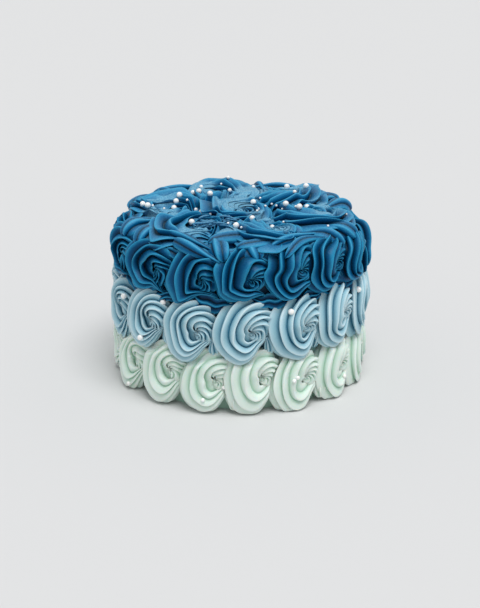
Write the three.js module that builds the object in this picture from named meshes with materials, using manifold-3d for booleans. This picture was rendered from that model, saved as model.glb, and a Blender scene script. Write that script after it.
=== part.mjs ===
// Ombre rosette cake: an uncut round tier covered in piped buttercream rosettes, pale mint at the
// foot, dusty blue in the middle and dark blue at the head and on the top, with sugar pearls.
//
// Millimetres, +Z up. The origin is the middle of the underside, and the front faces -Y.
// Every rosette is drawn flat, as [u, v, n]: u to the right and v upwards as it is looked at, and n
// outwards from the tier. Then it is laid on the tier's side or on its top.

import * as THREE from "three";
import { mergeVertices } from "three/addons/utils/BufferGeometryUtils.js";
import Module from "manifold-3d";

const wasm = await Module();
wasm.setup();

// The tier under the icing: a six-inch round in its thin crumb coat, as tall as four thin layers.
const TIER_RADIUS = 79;
const TIER_HEIGHT = 107;
const TIER_SIDES = 36;
const TIER_COLOUR = 0x2f6f9c;
const SHOULDER_HEIGHT = 106;
const SHOULDER_LEAN = 0.25;
const CONTACT_GAP = 0.3;
const SAME_POINT = 1e-4;

// The rope of icing that the star nozzle leaves, and how it lies on the tier.
const ROPE_RADIUS = 8.5;
const ROPE_LIFT = 7;
const TURN_PITCH = 14;
const SWIRL_PIT = 10;
const UNDERCUT = 2;
const ROOT_SINK = 3;

// The rosette that one such rope makes. The swirl lies right of and above the middle of the rim.
const SHIFT_ON_SIDE = { left: 4.8, down: 1.4 };
const SHIFT_ON_TOP = { left: 2.5, down: 1 };
const KEPT_BESIDE = 9.5;
const CORNER_ON_SIDE = 0.1;
const CORNER_ON_TOP = 0;
const REACH_STEP = 0.1;
const STRETCH = 1.1;
const TWIST = THREE.MathUtils.degToRad(150);
const TAIL_REACH = 12;
const TAIL_ANGLE = THREE.MathUtils.degToRad(-20);
const TAIL_SPREAD = 9;
const TAIL_PULL = 0.45;
const SCALLOP = 0.4;
const RIDGE_RISE = 1.6;
const COVER_GAP = 0.6;
const SIDE_REACH = 90;

// Each row: its rosettes' size and ridges, and the rosettes that face the front, from left to right,
// as [azimuth in degrees, height of the swirl, turn in degrees]. The others are spread evenly behind,
// at the row's height and turn.
// A rosette is partly covered by its right-hand neighbour and by those of a row piped later.
const ROWS = [
  {
    name: "mint",
    piped: 0,
    count: 16,
    radius: 21.5,
    ridge: 1.4,
    reach: -1.2,
    height: 24,
    turn: 0,
    colour: 0xc3dccd,
    front: [
      [-80, 25, 0], [-56, 25, 0], [-33, 27, 4], [-11, 25, 0], [10, 27, 6], [31, 23, 0], [54, 23, -8],
      [76, 22, 0],
    ],
  },
  {
    name: "dark",
    piped: 1,
    count: 16,
    radius: 22,
    ridge: 1.9,
    reach: -0.8,
    height: 95,
    turn: -30,
    colour: 0x14618f,
    front: [
      [-90, 99, -30], [-66, 98, -20], [-41, 97, -50], [-17, 96, -50], [5, 98, -25], [28, 101, -20],
      [49, 100, -40], [70, 98, -30],
    ],
  },
  {
    name: "dusty",
    piped: 2,
    count: 15,
    radius: 21,
    ridge: 1.4,
    reach: 0.4,
    height: 60,
    turn: 0,
    colour: 0x93bcd4,
    front: [
      [-68, 58, 10], [-43, 61, 0], [-19, 59, 0], [5, 61, 0], [30, 61, 12], [53, 62, 0], [76, 59, 0],
    ],
  },
];

// The rosettes of the top: a ring, and one in its middle that is piped last.
const CROWN = {
  count: 6,
  firstAzimuth: -35,
  ringRadius: 52,
  radius: 30.5,
  middleRadius: 29,
  ridge: 1.6,
  colour: 0x17659a,
};

const ARMS_ON_SIDE = 7;
const ARMS_ON_TOP = 10;
const RIM_STEPS_ON_SIDE = [0.2, 0.42, 0.64, 0.84, 1];
const RIM_STEPS_ON_TOP = [0.18, 0.36, 0.54, 0.72, 0.88, 1];

// The back of each row is uneven too, by a few degrees and millimetres.
const BACK_SWAY = { azimuth: 1.6, height: 1.8, turn: 14, step: 2.4 };

// Sugar pearls: [x, y, diameter] on the top, and [azimuth, height, diameter] on the sides.
const LARGE = 4.3;
const MEDIUM = 2.9;
const PEARL_SINK = 0.22;
const PEARLS_ON_TOP = [
  [-69, -2, LARGE], [-65, -6, LARGE], [-46, 6, LARGE], [-47, -11, LARGE], [-44, 21, LARGE],
  [-35, 27, LARGE], [-30, 31, LARGE], [-22, 24, LARGE], [-27, -26, LARGE], [-33, -48, LARGE],
  [-2, -55, LARGE], [8, -39, LARGE], [10, 2, LARGE], [21, -59, LARGE], [33, -4, LARGE],
  [42, -11, LARGE], [47, -11, LARGE], [35, 42, LARGE], [50, 44, LARGE], [-29, 42, MEDIUM],
  [-8, 34, MEDIUM], [13, -17, MEDIUM], [10, 42, MEDIUM], [40, 29, MEDIUM], [-9, 70, MEDIUM],
];
const PEARLS_ON_SIDE = [
  [-61, 71, LARGE], [-34, 78, LARGE], [-48, 46, LARGE], [22, 74, LARGE], [65, 73, LARGE],
  [25, 25, MEDIUM], [-7, 22, MEDIUM], [-16, 11, MEDIUM], [53, 14, MEDIUM],
  [118, 66, LARGE], [163, 75, LARGE], [-152, 48, LARGE], [-117, 72, LARGE], [141, 30, MEDIUM],
  [-171, 18, MEDIUM],
];

/** A closed geometry as a manifold-3d solid. */
function toSolid(geometry) {
  const bare = geometry.index ? geometry.toNonIndexed() : geometry.clone();
  bare.deleteAttribute("normal");
  bare.deleteAttribute("uv");
  const merged = mergeVertices(bare, SAME_POINT);
  return new wasm.Manifold(new wasm.Mesh({
    numProp: 3,
    vertProperties: new Float32Array(merged.attributes.position.array),
    triVerts: new Uint32Array(merged.index.array),
  }));
}

/** A manifold-3d solid as a geometry. */
function toGeometry(solid) {
  const result = solid.getMesh();
  const geometry = new THREE.BufferGeometry();
  geometry.setAttribute("position", new THREE.BufferAttribute(result.vertProperties, 3));
  geometry.setIndex(new THREE.BufferAttribute(result.triVerts, 1));
  geometry.computeVertexNormals();
  return geometry;
}

/** A geometry without the small scraps that a cut leaves loose beside its main body. */
function withoutScraps(geometry) {
  const corners = Array.from(geometry.index.array);
  const links = corners.map((_, vertex) => vertex);
  const bodyOf = (vertex) => {
    let body = vertex;
    while (links[body] !== body) {
      body = links[body];
    }
    return body;
  };
  for (let corner = 0; corner < corners.length; corner += 3) {
    links[bodyOf(corners[corner + 1])] = bodyOf(corners[corner]);
    links[bodyOf(corners[corner + 2])] = bodyOf(corners[corner]);
  }
  const volumes = new Map();
  const [a, b, c] = [new THREE.Vector3(), new THREE.Vector3(), new THREE.Vector3()];
  for (let corner = 0; corner < corners.length; corner += 3) {
    const body = bodyOf(corners[corner]);
    a.fromBufferAttribute(geometry.attributes.position, corners[corner]);
    b.fromBufferAttribute(geometry.attributes.position, corners[corner + 1]);
    c.fromBufferAttribute(geometry.attributes.position, corners[corner + 2]);
    volumes.set(body, (volumes.get(body) ?? 0) + a.dot(b.cross(c)));
  }
  const largest = [...volumes].reduce((best, body) => (body[1] > best[1] ? body : best))[0];
  geometry.setIndex(corners.filter((corner) => bodyOf(corner) === largest));
  return geometry;
}

/** The named mesh of a solid, in its own material. */
function toMesh(name, solid, colour) {
  const finish = new THREE.MeshStandardMaterial({ color: colour, roughness: 0.55, metalness: 0 });
  const mesh = new THREE.Mesh(withoutScraps(toGeometry(solid)), finish);
  mesh.name = name;
  return mesh;
}

/** A faceted drum that stands on the floor, larger all round by grow. */
function drum(grow) {
  const height = TIER_HEIGHT + grow;
  const shape = new THREE.CylinderGeometry(TIER_RADIUS + grow, TIER_RADIUS + grow, height, TIER_SIDES);
  shape.rotateX(Math.PI / 2);
  shape.translate(0, 0, height / 2);
  return toSolid(shape);
}

/** Where a flat rosette's point lies on the tier's side, which leans in over the shoulder. */
function onSide(u, v, n) {
  const azimuth = u / SIDE_REACH;
  const height = v * STRETCH;
  const radius = TIER_RADIUS + n - SHOULDER_LEAN * Math.max(0, height - SHOULDER_HEIGHT);
  return [radius * Math.sin(azimuth), -radius * Math.cos(azimuth), height];
}

/** Where a flat rosette's point lies on the tier's top. */
function onTop(u, v, n) {
  return [u, v, TIER_HEIGHT + n];
}

/** The middle of a rosette's rim, which is left of and below its swirl before the rosette turns. */
function rimMiddle(rosette) {
  const { left, down } = rosette.shift;
  const cos = Math.cos(rosette.turn);
  const sin = Math.sin(rosette.turn);
  return [rosette.u - left * cos + down * sin, rosette.v - left * sin - down * cos];
}

/** How far a rosette's rim is from its middle at an angle: it is pressed out into the corners. */
function rimRadius(rosette, angle) {
  return (rosette.radius + SCALLOP) * (1 + rosette.corner * Math.sin(2 * angle) ** 2);
}

/** Whether a point lies within a rosette's rim, widened by a margin. */
function isWithin(rosette, u, v, margin) {
  const [middleU, middleV] = rimMiddle(rosette);
  const angle = Math.atan2(v - middleV, u - middleU);
  return Math.hypot(u - middleU, v - middleV) < rimRadius(rosette, angle) + margin;
}

/** How far a rosette runs from its swirl at an angle before its rim, a cover or the floor ends it. */
function reachAt(rosette, angle) {
  let reach = 0;
  let [u, v] = [rosette.u, rosette.v];
  const isCovered = (cover) => isWithin(cover, u, v, COVER_GAP);
  while (isWithin(rosette, u, v, 0) && v >= rosette.floor && !rosette.coveredBy.some(isCovered)) {
    reach += REACH_STEP;
    u = rosette.u + reach * Math.cos(angle);
    v = rosette.v + reach * Math.sin(angle);
  }
  return reach - REACH_STEP;
}

/** How far a rosette's rim is from its swirl at an angle if nothing covers or presses it. */
function freeReach(rosette, angle) {
  const [middleU, middleV] = rimMiddle(rosette);
  const along = (middleU - rosette.u) * Math.cos(angle) + (middleV - rosette.v) * Math.sin(angle);
  const across = (middleU - rosette.u) * Math.sin(angle) - (middleV - rosette.v) * Math.cos(angle);
  return along + Math.sqrt((rosette.radius + SCALLOP) ** 2 - across ** 2);
}

/** The radii, from the swirl, of the rope's middle on each turn that it makes. */
function turnRadii(rosette) {
  const radii = [];
  for (let radius = rosette.radius - ROPE_RADIUS; radius > 0; radius -= TURN_PITCH) {
    radii.push(radius);
  }
  return radii;
}

/** How far a rosette stands out of the tier at a distance from its swirl. */
function standOut(rosette, distance) {
  let height = SWIRL_PIT;
  for (const radius of turnRadii(rosette)) {
    const across = Math.min(ROPE_RADIUS, Math.abs(distance - radius));
    height = Math.max(height, ROPE_LIFT + Math.sqrt(ROPE_RADIUS ** 2 - across ** 2));
  }
  return distance > rosette.radius - ROPE_RADIUS / 2 ? height - SWIRL_PIT + ROPE_LIFT : height;
}

/** Draws a point in towards the tail, where the ridges run together. */
function pullToTail(u, v) {
  const du = TAIL_REACH * Math.cos(TAIL_ANGLE) - u;
  const dv = TAIL_REACH * Math.sin(TAIL_ANGLE) - v;
  const pull = TAIL_PULL * Math.exp(-(du * du + dv * dv) / TAIL_SPREAD ** 2);
  return [u + pull * du, v + pull * dv];
}

/** A rosette's point: step runs from the swirl to the rim, and even columns are crests. */
function rosettePoint(rosette, step, column, grow) {
  const side = column % 2 === 0 ? 1 : -1;
  const angle = (column * Math.PI) / rosette.arms + TWIST * (1 - step);
  const radius = (rosette.radius + side * SCALLOP) * step;
  const [u, v] = pullToTail(
    radius * Math.cos(angle) - rosette.shift.left * step,
    radius * Math.sin(angle) - rosette.shift.down * step,
  );
  const turned = Math.atan2(v, u) + rosette.turn;
  const kept = reachAt(rosette, turned) / freeReach(rosette, turned);
  const reach = Math.hypot(u, v) * kept + grow;
  const ridge = side * rosette.ridge * Math.min(1, RIDGE_RISE * step);
  const height = standOut(rosette, rosette.radius * step) + rosette.reach + ridge + grow;
  return [rosette.u + reach * Math.cos(turned), rosette.v + reach * Math.sin(turned), height];
}

/** The points of a rosette: the swirl, the rings out to the rim, the root ring and its middle. */
function rosettePoints(rosette, grow) {
  const columns = 2 * rosette.arms;
  const root = rosette.root - grow;
  const points = [[rosette.u, rosette.v, SWIRL_PIT + rosette.reach + grow]];
  for (const step of rosette.steps) {
    for (let column = 0; column < columns; column += 1) {
      points.push(rosettePoint(rosette, step, column, grow));
    }
  }
  for (let column = 0; column < columns; column += 1) {
    const [u, v] = points[points.length - columns];
    const shrink = 1 - UNDERCUT / Math.hypot(u - rosette.u, v - rosette.v);
    points.push([rosette.u + shrink * (u - rosette.u), rosette.v + shrink * (v - rosette.v), root]);
  }
  points.push([rosette.u, rosette.v, root]);
  return points;
}

/** The triangles over a rosette's rings, wound so that its faces point out. */
function rosetteFaces(columns, rings) {
  const faces = [];
  const last = 1 + columns * rings;
  for (let column = 0; column < columns; column += 1) {
    const next = (column + 1) % columns;
    faces.push(0, 1 + column, 1 + next);
    for (let ring = 1; ring < rings; ring += 1) {
      const inner = 1 + (ring - 1) * columns;
      const outer = inner + columns;
      faces.push(inner + column, outer + column, outer + next);
      faces.push(inner + column, outer + next, inner + next);
    }
    faces.push(last - columns + next, last - columns + column, last);
  }
  return faces;
}

/** The solid of one rosette, whole, larger all round by grow. */
function rosetteSolid(rosette, grow = 0) {
  const place = rosette.onTop ? onTop : onSide;
  const points = rosettePoints(rosette, grow).map(([u, v, n]) => place(u, v, n));
  const geometry = new THREE.BufferGeometry();
  geometry.setAttribute("position", new THREE.Float32BufferAttribute(points.flat(), 3));
  geometry.setIndex(rosetteFaces(2 * rosette.arms, rosette.steps.length + 1));
  return toSolid(geometry);
}

/** The azimuth, height and turn of each rosette of a row, the front ones first. */
function rowPlaces(row) {
  const places = [...row.front];
  const first = row.front[0][0] + 360;
  const last = row.front[row.front.length - 1][0];
  const behind = row.count - row.front.length;
  for (let index = 1; index <= behind; index += 1) {
    const sway = Math.sin(BACK_SWAY.step * index + row.piped);
    places.push([
      last + ((first - last) * index) / (behind + 1) + BACK_SWAY.azimuth * sway,
      row.height + BACK_SWAY.height * Math.cos(BACK_SWAY.step * index),
      row.turn + BACK_SWAY.turn * sway,
    ]);
  }
  return places;
}

/** The rosettes of a row, as descriptions, in order round the tier. */
function rowRosettes(row) {
  const rosettes = rowPlaces(row).map(([azimuth, height, turn], index) => ({
    name: `${row.name}-rosette-${String(index + 1).padStart(2, "0")}`,
    row,
    u: THREE.MathUtils.degToRad(azimuth) * SIDE_REACH,
    v: height / STRETCH,
    turn: THREE.MathUtils.degToRad(turn),
    radius: row.radius,
    shift: SHIFT_ON_SIDE,
    ridge: row.ridge,
    reach: row.reach,
    root: -ROOT_SINK,
    corner: CORNER_ON_SIDE,
    floor: 0,
    arms: ARMS_ON_SIDE,
    steps: RIM_STEPS_ON_SIDE,
    onTop: false,
    colour: row.colour,
    coveredBy: [],
  }));
  rosettes.forEach((rosette, index) => {
    const left = nearestTo(rosette, rosettes[(index + rosettes.length - 1) % rosettes.length]);
    rosette.radius = Math.min(row.radius, rimMiddle(rosette)[0] - left.u - KEPT_BESIDE);
  });
  return rosettes;
}

/** The rosettes of the top, the ring first and the middle one last. */
function crownRosettes() {
  const shared = {
    shift: SHIFT_ON_TOP,
    ridge: CROWN.ridge,
    reach: 0,
    root: CONTACT_GAP,
    arms: ARMS_ON_TOP,
    steps: RIM_STEPS_ON_TOP,
    corner: CORNER_ON_TOP,
    floor: -Infinity,
    onTop: true,
    colour: CROWN.colour,
  };
  const rosettes = [];
  for (let index = 0; index < CROWN.count; index += 1) {
    const azimuth = THREE.MathUtils.degToRad(CROWN.firstAzimuth + (360 * index) / CROWN.count);
    rosettes.push({
      ...shared,
      name: `crown-rosette-${index + 1}`,
      u: CROWN.ringRadius * Math.sin(azimuth),
      v: -CROWN.ringRadius * Math.cos(azimuth),
      turn: azimuth,
      radius: CROWN.radius,
      coveredBy: [],
    });
  }
  const middle = { ...shared, name: "crown-rosette-middle", u: 0, v: 0, turn: 0, coveredBy: [] };
  middle.radius = CROWN.middleRadius;
  return [...rosettes, middle];
}

/** A copy of a side rosette, moved by whole turns round the tier to lie nearest another. */
function nearestTo(rosette, other) {
  const girth = 2 * Math.PI * SIDE_REACH;
  return { ...other, u: other.u - girth * Math.round((other.u - rosette.u) / girth) };
}

/** Whether two rosettes' rims meet. */
function meet(one, other) {
  const [u, v] = rimMiddle(one);
  const [s, t] = rimMiddle(other);
  return Math.hypot(u - s, v - t) < (1 + one.corner) * (one.radius + other.radius + 2 * SCALLOP);
}

/** Tells each side rosette which ones cover it. */
function coverRows(rows) {
  for (const row of rows) {
    row.forEach((rosette, index) => {
      const right = nearestTo(rosette, row[(index + 1) % row.length]);
      const later = rows.flat().filter((other) => other.row.piped > rosette.row.piped);
      rosette.coveredBy = [right, ...later.map((other) => nearestTo(rosette, other))]
        .filter((other) => meet(rosette, other));
    });
  }
}

/** Tells each rosette of the top which ones cover it. */
function coverCrown(crown) {
  const middle = crown[crown.length - 1];
  for (let index = 0; index < CROWN.count; index += 1) {
    crown[index].coveredBy = [crown[(index + 1) % CROWN.count], middle];
  }
}

/** The solids of the side rosettes, cut to fit the tier and the crown that rests on them. */
function sideSolids(rosettes, crown) {
  const tier = drum(CONTACT_GAP);
  const covers = crown.map((rosette) => rosetteSolid(rosette, CONTACT_GAP));
  return rosettes.map((rosette) => {
    const fitted = rosetteSolid(rosette).subtract(tier);
    return covers.reduce((rest, cover) => rest.subtract(cover), fitted);
  });
}

/** A pearl as a solid, with its middle on a point: the large ones have more faces. */
function pearlSolid(diameter, middle) {
  const Shape = diameter < LARGE ? THREE.OctahedronGeometry : THREE.IcosahedronGeometry;
  const pearl = new Shape(diameter / 2, 0);
  pearl.translate(middle.x, middle.y, middle.z);
  return toSolid(pearl);
}

/** Presses a pearl into the first piece of icing on its way, unless it would touch another one. */
function pressPearl(pieces, from, towards, diameter) {
  const line = new THREE.Raycaster(from, towards.normalize());
  const hit = line.intersectObjects(pieces.map((piece) => piece.mesh))[0];
  const middle = hit.point.addScaledVector(towards, (PEARL_SINK - 0.5) * diameter);
  const around = pearlSolid(diameter + 2 * CONTACT_GAP, middle);
  const others = pieces.filter((piece) => piece.mesh !== hit.object || piece.name === "tier");
  if (others.every((piece) => piece.solid.intersect(around).isEmpty())) {
    const carrier = pieces.find((piece) => piece.mesh === hit.object);
    carrier.solid = carrier.solid.add(pearlSolid(diameter, middle));
  }
}

/** Presses all the pearls into the icing. */
function pressPearls(pieces) {
  for (const [x, y, diameter] of PEARLS_ON_TOP) {
    pressPearl(pieces, new THREE.Vector3(x, y, 2 * TIER_HEIGHT), new THREE.Vector3(0, 0, -1), diameter);
  }
  for (const [azimuth, height, diameter] of PEARLS_ON_SIDE) {
    const angle = THREE.MathUtils.degToRad(azimuth);
    const outward = new THREE.Vector3(Math.sin(angle), -Math.cos(angle), 0);
    const from = outward.clone().multiplyScalar(2 * TIER_RADIUS).setZ(height);
    pressPearl(pieces, from, outward.negate(), diameter);
  }
}

/** Every piece of the cake, as its name, solid, colour and a mesh without pearls. */
function cakePieces() {
  const rows = ROWS.map(rowRosettes);
  const crown = crownRosettes();
  coverRows(rows);
  coverCrown(crown);
  const rosettes = [...rows.flat(), ...crown];
  const solids = [...sideSolids(rows.flat(), crown), ...crown.map((rosette) => rosetteSolid(rosette))];
  const pieces = [{ name: "tier", colour: TIER_COLOUR, solid: drum(0) }];
  rosettes.forEach(({ name, colour }, index) => pieces.push({ name, colour, solid: solids[index] }));
  for (const piece of pieces) {
    piece.mesh = toMesh(piece.name, piece.solid, piece.colour);
  }
  return pieces;
}

const pieces = cakePieces();
pressPearls(pieces);
const cake = new THREE.Group();
cake.name = "ombre-rosette-cake";
for (const { name, solid, colour } of pieces) {
  cake.add(toMesh(name, solid, colour));
}

export default cake;
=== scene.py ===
"""Ombre rosette cake: a six-inch round piped all over with buttercream rosettes, and sugar pearls.

Sizes are millimetres unless a name says otherwise, and they become metres where a mesh is made. A
rosette is first laid flat, as (u, v, n): u to the right and v upwards as it is looked at, n outwards.
Then it is wrapped on the cake's side or set on its top. Where each one lies comes from the frame.
"""

import logging
import math
import random
from collections.abc import Callable
from dataclasses import dataclass, field, replace
from enum import Enum

import bmesh
import bpy
import numpy as np
from bpy.types import Camera, Light, Material, Mesh, Node, NodeSocket, NodeTree, Object
from mathutils import Matrix, Vector
from mathutils.bvhtree import BVHTree


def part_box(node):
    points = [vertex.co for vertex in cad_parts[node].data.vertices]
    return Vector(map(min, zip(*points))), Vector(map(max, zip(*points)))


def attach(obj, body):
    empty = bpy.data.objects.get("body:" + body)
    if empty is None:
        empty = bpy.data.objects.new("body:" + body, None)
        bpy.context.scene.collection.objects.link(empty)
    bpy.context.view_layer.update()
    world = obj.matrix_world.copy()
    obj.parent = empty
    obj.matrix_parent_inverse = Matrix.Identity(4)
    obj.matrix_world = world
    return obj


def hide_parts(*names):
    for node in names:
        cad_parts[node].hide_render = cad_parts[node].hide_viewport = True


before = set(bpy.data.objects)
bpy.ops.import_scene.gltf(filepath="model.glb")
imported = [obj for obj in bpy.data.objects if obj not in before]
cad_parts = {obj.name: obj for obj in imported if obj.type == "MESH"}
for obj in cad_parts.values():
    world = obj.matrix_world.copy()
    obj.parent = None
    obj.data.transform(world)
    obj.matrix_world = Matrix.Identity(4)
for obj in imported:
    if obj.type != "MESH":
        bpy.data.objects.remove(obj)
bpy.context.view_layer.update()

LOG = logging.getLogger("rosette_cake")
MM = 0.001
WAVE_OCTAVES = (0.7, 1.0, 1.6)
# How near a rosette's middle its swirl is looked for, and how far out of the tier u is measured.
HUB_REACH = 13.0
WALL_REACH = 11.0
BUTTER_IOR = 1.46

Array = np.ndarray
Flat = tuple[Array, Array, Array]
Line = tuple[float, float, float, float]
Pair = tuple[float, float]
Triple = tuple[float, float, float]


def linear(hex_colour: str) -> tuple[float, float, float, float]:
    """Turns an sRGB hex colour into linear light.

    Args:
        hex_colour: The colour, as "#rrggbb".

    Returns:
        Red, green, blue and an alpha of one.
    """
    levels = [int(hex_colour[start:start + 2], 16) / 255 for start in (1, 3, 5)]
    light = [level / 12.92 if level <= 0.04045 else ((level + 0.055) / 1.055) ** 2.4 for level in levels]
    return (light[0], light[1], light[2], 1.0)


def add_node(tree: NodeTree, kind: str, links: dict[str | int, object] | None = None,
             **settings: object) -> Node:
    """Adds one node to a material.

    Args:
        tree: The material's node tree.
        kind: The node's type, such as "ShaderNodeTexNoise".
        links: For each input, by name or index, the output socket that feeds it or a plain value.
        settings: The node's own properties.

    Returns:
        The new node.
    """
    node = tree.nodes.new(kind)
    for name, value in settings.items():
        setattr(node, name, value)
    feed(node, links or {})
    return node


def feed(node: Node, links: dict[str | int, object]) -> None:
    """Sets a node's inputs, by name or index, each to an output socket or to a plain value."""
    for name, value in links.items():
        if isinstance(value, NodeSocket):
            node.id_data.links.new(value, node.inputs[name])
        else:
            node.inputs[name].default_value = value


def new_material(name: str) -> tuple[Material, NodeTree, Node, NodeSocket]:
    """Starts a node material.

    Args:
        name: The material's name.

    Returns:
        The material, its node tree, its shader, and the socket of the point on the cake.
    """
    material = bpy.data.materials.new(name)
    material.use_nodes = True
    tree = material.node_tree
    place = add_node(tree, "ShaderNodeTexCoord").outputs["Object"]
    return material, tree, tree.nodes["Principled BSDF"], place


def smooth(value: Array | float) -> Array | float:
    """Eases a value from 0 to 1, and holds it there outside."""
    held = np.clip(value, 0.0, 1.0)
    return held * held * (3 - 2 * held)


def waves(u: Array, v: Array, length: float, seed: int) -> Array:
    """Sums a few sine waves that cross at odd angles, as a hand's unsteadiness.

    Args:
        u: How far right each point is.
        v: How high each point is.
        length: About how far apart the crests are.
        seed: Which set of waves.

    Returns:
        The height of the waves at each point, mostly between -1 and 1.
    """
    draw = random.Random(seed)
    total = np.zeros_like(u)
    for octave in WAVE_OCTAVES:
        heading, phase = draw.uniform(0, math.pi), draw.uniform(0, 2 * math.pi)
        along = u * math.cos(heading) + v * math.sin(heading)
        total = total + np.sin(along * 2 * math.pi * octave / length + phase)
    return total / 2


class Icing(Enum):
    """The batches of buttercream, by the start of their nodes' names.
    The crown's is the dark batch again, coloured lighter as painted light from above.
    """

    MINT = "mint"
    DUSTY = "dusty"
    DARK = "dark"
    CROWN = "crown"


@dataclass(frozen=True)
class Buttercream:
    """Beaten butter and sugar, piped: satin, a little translucent, with fine grain and some air.

    The mesh says how near a ridge each point is (attribute ridge) and how smeared (attribute smear).
    From these the colour paints shade into the grooves, a highlight onto the ridges and a pale sheen onto
    smears and upward faces.
    """

    name: str
    body: str
    crest: str
    groove: str
    grain_depth: float
    pit_depth: float
    scatter: float
    # The painted sheen: a pale colour for upward faces and smears, standing for the bright sky's reflection.
    painted_sheen: str
    speckle: float
    roughness: float = 0.5
    painted_sheen_strength: float = 0.2
    shine: float = 0.2
    streak_length: float = 25.0
    streakiness: float = 0.35
    grain_size: float = 0.9
    pit_spacing: float = 3.2
    scatter_depth: float = 1.8

    def material(self) -> Material:
        """Makes the node material.

        Returns:
            The material.
        """
        material, tree, shader, place = new_material(self.name)
        # Sugar grain of about 0.5 mm, drawn coarser than it is so that it shows.
        grain = add_node(tree, "ShaderNodeTexNoise", {
            "Vector": place, "Scale": 1000 / self.grain_size, "Detail": 3.0, "Roughness": 0.7,
        }).outputs["Fac"]
        fine = add_node(tree, "ShaderNodeBump", {
            "Height": grain, "Distance": MM, "Strength": self.grain_depth,
        })
        # Pits where the beaten-in air broke through.
        pits = add_node(tree, "ShaderNodeTexVoronoi", {"Vector": place, "Scale": 1000 / self.pit_spacing})
        hollow = add_node(tree, "ShaderNodeMapRange", {"Value": pits.outputs["Distance"], "From Max": 0.22})
        bump = add_node(tree, "ShaderNodeBump", {
            "Height": hollow.outputs["Result"], "Distance": MM, "Strength": self.pit_depth,
            "Normal": fine.outputs["Normal"],
        })
        feed(shader, {
            "Base Color": self.colour(tree, place, grain), "Normal": bump.outputs["Normal"],
            "Roughness": self.roughness, "IOR": BUTTER_IOR, "Specular IOR Level": self.shine,
            "Subsurface Weight": self.scatter, "Subsurface Radius": (0.8, 1.0, 1.2),
            "Subsurface Scale": self.scatter_depth * MM,
        })
        return material

    def colour(self, tree: NodeTree, place: NodeSocket, grain: NodeSocket) -> NodeSocket:
        """Colours the icing from a groove through its body to a crest: partly the icing's own change from
        thick to thin, and partly painted shade in the grooves and a painted highlight on the crests.

        Args:
            tree: The material's node tree.
            place: The point on the cake.
            grain: The sugar grain.

        Returns:
            The colour.
        """
        level = add_node(tree, "ShaderNodeAttribute", attribute_name="ridge").outputs["Fac"]
        # Dye streaks from a batch that is never mixed quite evenly, and then flecks of the grain.
        streak = add_node(tree, "ShaderNodeTexNoise", {
            "Vector": place, "Scale": 1000 / self.streak_length, "Detail": 2.0,
        }).outputs["Fac"]
        for noise, strength in ((streak, self.streakiness), (grain, self.speckle)):
            uneven = add_node(tree, "ShaderNodeMath", {0: noise, 1: 0.5}, operation="SUBTRACT").outputs[0]
            level = add_node(tree, "ShaderNodeMath", {0: uneven, 1: strength, 2: level},
                             operation="MULTIPLY_ADD").outputs[0]
        # Painted shade and highlight: the ramp darkens the grooves and lightens the crests, about the
        # icing's body colour.
        tone = add_node(tree, "ShaderNodeValToRGB", {"Fac": level})
        low, high = tone.color_ramp.elements
        low.position, low.color = 0.0, linear(self.groove)
        high.position, high.color = 1.0, linear(self.crest)
        tone.color_ramp.elements.new(0.5).color = linear(self.body)
        # Painted sheen: a pale colour mixed in where the icing faces up or is smeared, standing for the
        # bright sky's reflection there, broken up by the grain.
        facing = add_node(tree, "ShaderNodeNewGeometry").outputs["Normal"]
        upward = add_node(tree, "ShaderNodeSeparateXYZ", {"Vector": facing}).outputs["Z"]
        smear = add_node(tree, "ShaderNodeAttribute", attribute_name="smear").outputs["Fac"]
        upward_sheen = add_node(tree, "ShaderNodeMapRange", {
            "Value": upward, "From Min": 0.3, "From Max": 1.0, "To Max": self.painted_sheen_strength,
        })
        flat = add_node(tree, "ShaderNodeMath", {0: smear, 1: 1.1, 2: upward_sheen.outputs["Result"]},
                        operation="MULTIPLY_ADD", use_clamp=True)
        speck = add_node(tree, "ShaderNodeMapRange", {
            "Value": grain, "From Min": 0.35, "From Max": 0.65, "To Min": 0.2,
        })
        painted_sheen_mask = add_node(tree, "ShaderNodeMath", {0: flat.outputs[0], 1: speck.outputs["Result"]},
                         operation="MULTIPLY")
        # A mix node's inputs 6 and 7 and its output 2 are the ones for colours.
        with_painted_sheen = add_node(tree, "ShaderNodeMix", data_type="RGBA")
        feed(with_painted_sheen, {"Factor": painted_sheen_mask.outputs[0], 6: tone.outputs["Color"], 7: linear(self.painted_sheen)})
        return with_painted_sheen.outputs[2]


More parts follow.
